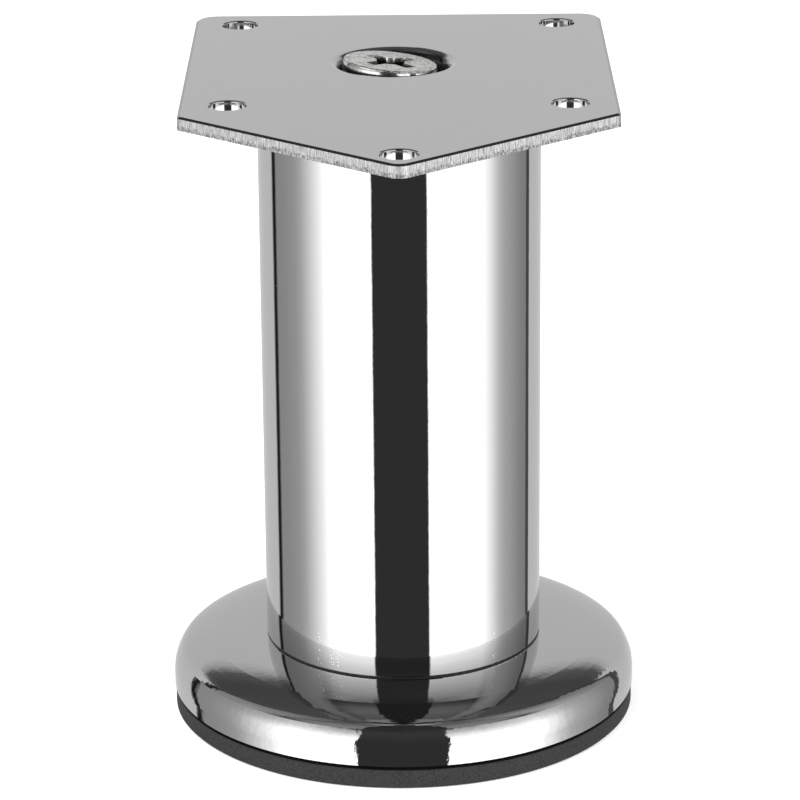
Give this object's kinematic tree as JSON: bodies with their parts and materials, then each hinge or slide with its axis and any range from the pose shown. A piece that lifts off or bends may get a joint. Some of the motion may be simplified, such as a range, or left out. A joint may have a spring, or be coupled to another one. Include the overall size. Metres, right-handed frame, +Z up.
{
  "type": "metal furniture leg",
  "caption": "Round chromed furniture leg with a pointed screw-on mounting plate and a wide domed levelling foot on a black rubber pad.",
  "frame": {"origin": "on the floor under the foot, on the tube's axis", "axes": "+Z up along the tube to the mounting plate; the plate's point faces -Y"},
  "size_m": [0.0842, 0.1093, 0.1209],
  "materials": {
    "plate_chrome": "bright chrome over pressed steel sheet, with sheared edges",
    "tube_chrome": "polished bright chrome",
    "screw_steel": "nickel plated, slightly rough forged face",
    "spring_steel": "nickel plated spring steel",
    "zinc_steel": "bright zinc plated",
    "black_nylon": "moulded black nylon",
    "pad_rubber": "moulded black rubber, finely mottled"
  },
  "bodies": {
    "foot": {"jam_washer": "zinc_steel", "jam_nut": "zinc_steel", "foot_cover": "tube_chrome", "foot_core": "black_nylon", "foot_pad": "pad_rubber"},
    "stud": {"foot_stud": "zinc_steel"},
    "leg": {"top_plate": "plate_chrome", "plate_screw": "screw_steel", "lock_washer": "spring_steel", "head_plug": "black_nylon", "head_nut": "zinc_steel", "tube": "tube_chrome", "foot_plug": "black_nylon", "foot_nut": "zinc_steel"}
  },
  "joints": [
    {"name": "leg_turn", "type": "hinge", "parent": "foot", "child": "stud", "pos_m": [0, 0, 0], "axis": [0, 0, 1], "range_deg": [0, 3600]},
    {"name": "leg_lift", "type": "slide", "parent": "stud", "child": "leg", "axis": [0, 0, 1], "range_m": [0, 0.015]}
  ],
  "couplings": [
    {"joint": "leg_lift", "follows": "leg_turn", "m_per_rad": 0.00023873}
  ]
}
